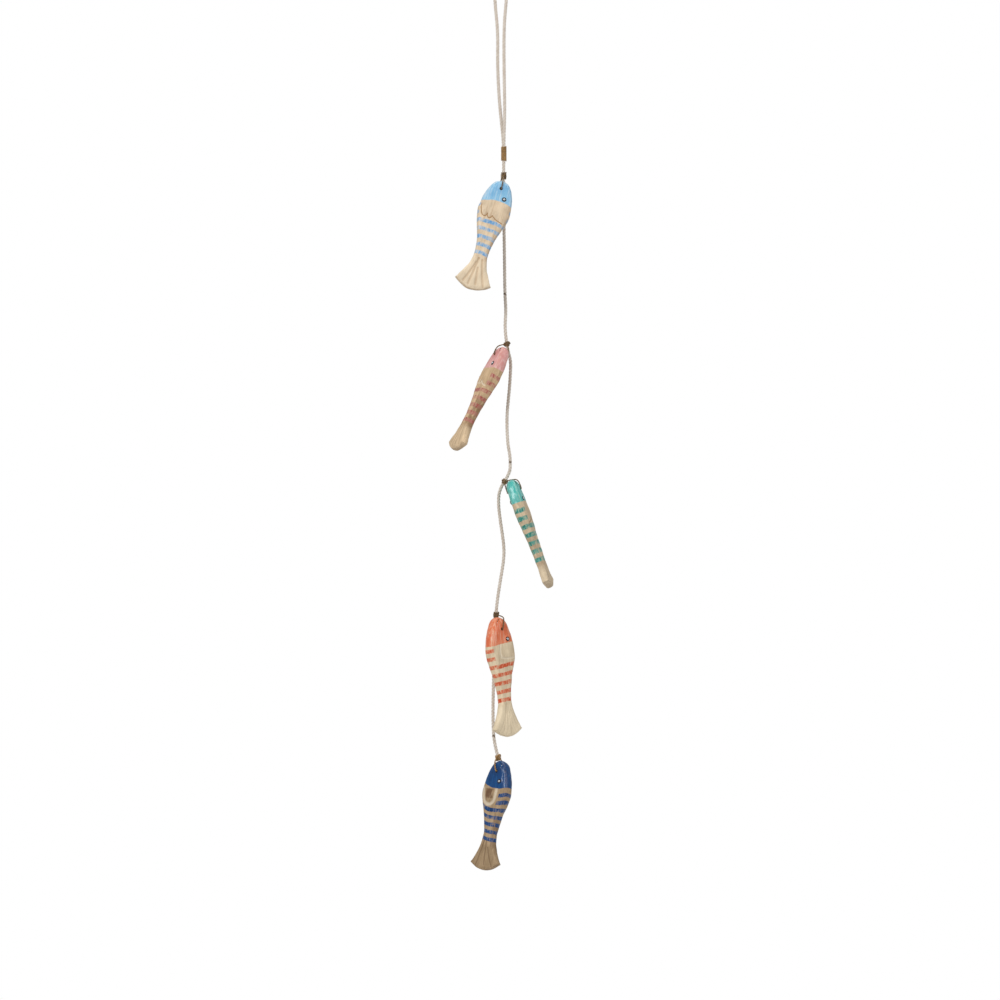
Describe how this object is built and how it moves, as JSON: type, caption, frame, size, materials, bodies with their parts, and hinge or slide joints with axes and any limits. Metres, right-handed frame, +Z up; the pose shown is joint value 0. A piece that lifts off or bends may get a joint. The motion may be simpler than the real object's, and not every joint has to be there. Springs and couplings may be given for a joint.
{
  "type": "hanging fish garland",
  "caption": "Hanging garland of carved, painted wooden fish, each tied by its nose with twine to one limp cord that ends in a hanging loop.",
  "frame": {"origin": "inside top of the hanging loop, where a hook or peg carries the garland", "axes": "+Z up along the hanging cord, -Y towards the side that the garland is seen from, +X to the right of that view"},
  "size_m": [0.095, 0.0468, 0.8049],
  "materials": {
    "cotton_cord": "matte",
    "golden_twine": "matte",
    "brown_twine": "matte",
    "eye_tack": "gloss",
    "sky_paint": "gloss paint over carved wood",
    "pink_paint": "gloss paint over carved wood",
    "teal_paint": "gloss paint over carved wood",
    "coral_paint": "gloss paint over carved wood",
    "navy_paint": "gloss paint over carved wood"
  },
  "bodies": {
    "hanger": {"hanging_loop": "cotton_cord", "loop_whipping": "golden_twine"},
    "span_1": {"cord_span_1": "cotton_cord"},
    "span_2": {"cord_span_2": "cotton_cord"},
    "span_3": {"cord_span_3": "cotton_cord"},
    "span_4": {"cord_span_4": "cotton_cord"},
    "sky_tie": {"sky_tie_knot": "brown_twine"},
    "sky_loop": {"sky_nose_loop": "brown_twine"},
    "sky_fish": {"sky_body": "sky_paint", "sky_left_eye": "eye_tack", "sky_right_eye": "eye_tack"},
    "pink_tie": {"pink_tie_knot": "brown_twine"},
    "pink_loop": {"pink_nose_loop": "brown_twine"},
    "pink_fish": {"pink_body": "pink_paint", "pink_left_eye": "eye_tack", "pink_right_eye": "eye_tack"},
    "teal_tie": {"teal_tie_knot": "brown_twine"},
    "teal_loop": {"teal_nose_loop": "brown_twine"},
    "teal_fish": {"teal_body": "teal_paint", "teal_left_eye": "eye_tack", "teal_right_eye": "eye_tack"},
    "coral_tie": {"coral_tie_knot": "brown_twine"},
    "coral_loop": {"coral_nose_loop": "brown_twine"},
    "coral_fish": {"coral_body": "coral_paint", "coral_left_eye": "eye_tack", "coral_right_eye": "eye_tack"},
    "navy_tie": {"navy_tie_knot": "golden_twine"},
    "navy_loop": {"navy_nose_loop": "golden_twine"},
    "navy_fish": {"navy_body": "navy_paint", "navy_left_eye": "eye_tack", "navy_right_eye": "eye_tack"}
  },
  "joints": [
    {"name": "cord_bend_1", "type": "hinge", "parent": "hanger", "child": "span_1", "pos_m": [0.00245, 0, -0.1696], "axis": [0, 1, 0], "range_deg": [-20, 20]},
    {"name": "cord_bend_2", "type": "hinge", "parent": "span_1", "child": "span_2", "pos_m": [0.0041, 0, -0.32], "axis": [0, 1, 0], "range_deg": [-20, 20]},
    {"name": "cord_bend_3", "type": "hinge", "parent": "span_2", "child": "span_3", "pos_m": [0.0084, 0, -0.434], "axis": [1, 0, 0], "range_deg": [-20, 20]},
    {"name": "cord_bend_4", "type": "hinge", "parent": "span_3", "child": "span_4", "pos_m": [-0.0039, 0, -0.562], "axis": [0, 1, 0], "range_deg": [-20, 20]},
    {"name": "sky_turn", "type": "hinge", "parent": "span_1", "child": "sky_tie", "pos_m": [0.00236, 0, -0.176], "axis": [0.0144, 0, 0.9999], "range_deg": [-45, 45]},
    {"name": "sky_lift", "type": "hinge", "parent": "sky_tie", "child": "sky_loop", "pos_m": [0.00236, 0, -0.176], "axis": [-0.9641, -0.0812, 0.2528], "range_deg": [0, 40]},
    {"name": "sky_swing", "type": "hinge", "parent": "sky_loop", "child": "sky_fish", "pos_m": [-0.0006, -0.0097, -0.1904], "axis": [0.1361, -0.9686, 0.2079], "range_deg": [-30, 30]},
    {"name": "pink_turn", "type": "hinge", "parent": "span_2", "child": "pink_tie", "pos_m": [0.00523, 0.00015, -0.3272], "axis": [-0.1552, -0.0212, 0.9877], "range_deg": [-45, 45]},
    {"name": "pink_lift", "type": "hinge", "parent": "pink_tie", "child": "pink_loop", "pos_m": [0.00523, 0.00015, -0.3272], "axis": [-0.529, 0.808, -0.2595], "range_deg": [-5, 35]},
    {"name": "pink_swing", "type": "hinge", "parent": "pink_loop", "child": "pink_fish", "pos_m": [-0.0012, -0.0082, -0.3401], "axis": [-0.8002, -0.3731, 0.4695], "range_deg": [-30, 30]},
    {"name": "teal_turn", "type": "hinge", "parent": "span_3", "child": "teal_tie", "pos_m": [0.00331, 0, -0.451], "axis": [0.543, 0, 0.8397], "range_deg": [-45, 45]},
    {"name": "teal_lift", "type": "hinge", "parent": "teal_tie", "child": "teal_loop", "pos_m": [0.00331, 0, -0.451], "axis": [-0.3029, -0.8674, 0.3949], "range_deg": [-5, 15]},
    {"name": "teal_swing", "type": "hinge", "parent": "teal_loop", "child": "teal_fish", "pos_m": [0.0122, -0.0072, -0.46], "axis": [0.9224, -0.1627, 0.3502], "range_deg": [-30, 30]},
    {"name": "coral_turn", "type": "hinge", "parent": "span_4", "child": "coral_tie", "pos_m": [-0.00443, 0, -0.5712], "axis": [0.0578, 0, 0.9983], "range_deg": [-45, 45]},
    {"name": "coral_lift", "type": "hinge", "parent": "coral_tie", "child": "coral_loop", "pos_m": [-0.00443, 0, -0.5712], "axis": [-0.7313, -0.5955, 0.3326], "range_deg": [0, 40]},
    {"name": "coral_swing", "type": "hinge", "parent": "coral_loop", "child": "coral_fish", "pos_m": [-0.0027, -0.0095, -0.5844], "axis": [0.6626, -0.7359, 0.1392], "range_deg": [-30, 30]},
    {"name": "navy_turn", "type": "hinge", "parent": "span_4", "child": "navy_tie", "pos_m": [-0.00262, 0, -0.6996], "axis": [-0.2668, 0, 0.9638], "range_deg": [-45, 45]},
    {"name": "navy_lift", "type": "hinge", "parent": "navy_tie", "child": "navy_loop", "pos_m": [-0.00262, 0, -0.6996], "axis": [-0.7646, 0.5157, -0.3866], "range_deg": [-15, 35]},
    {"name": "navy_swing", "type": "hinge", "parent": "navy_loop", "child": "navy_fish", "pos_m": [-0.0006, -0.0066, -0.7124], "axis": [-0.6237, -0.7433, 0.2419], "range_deg": [-30, 30]}
  ]
}
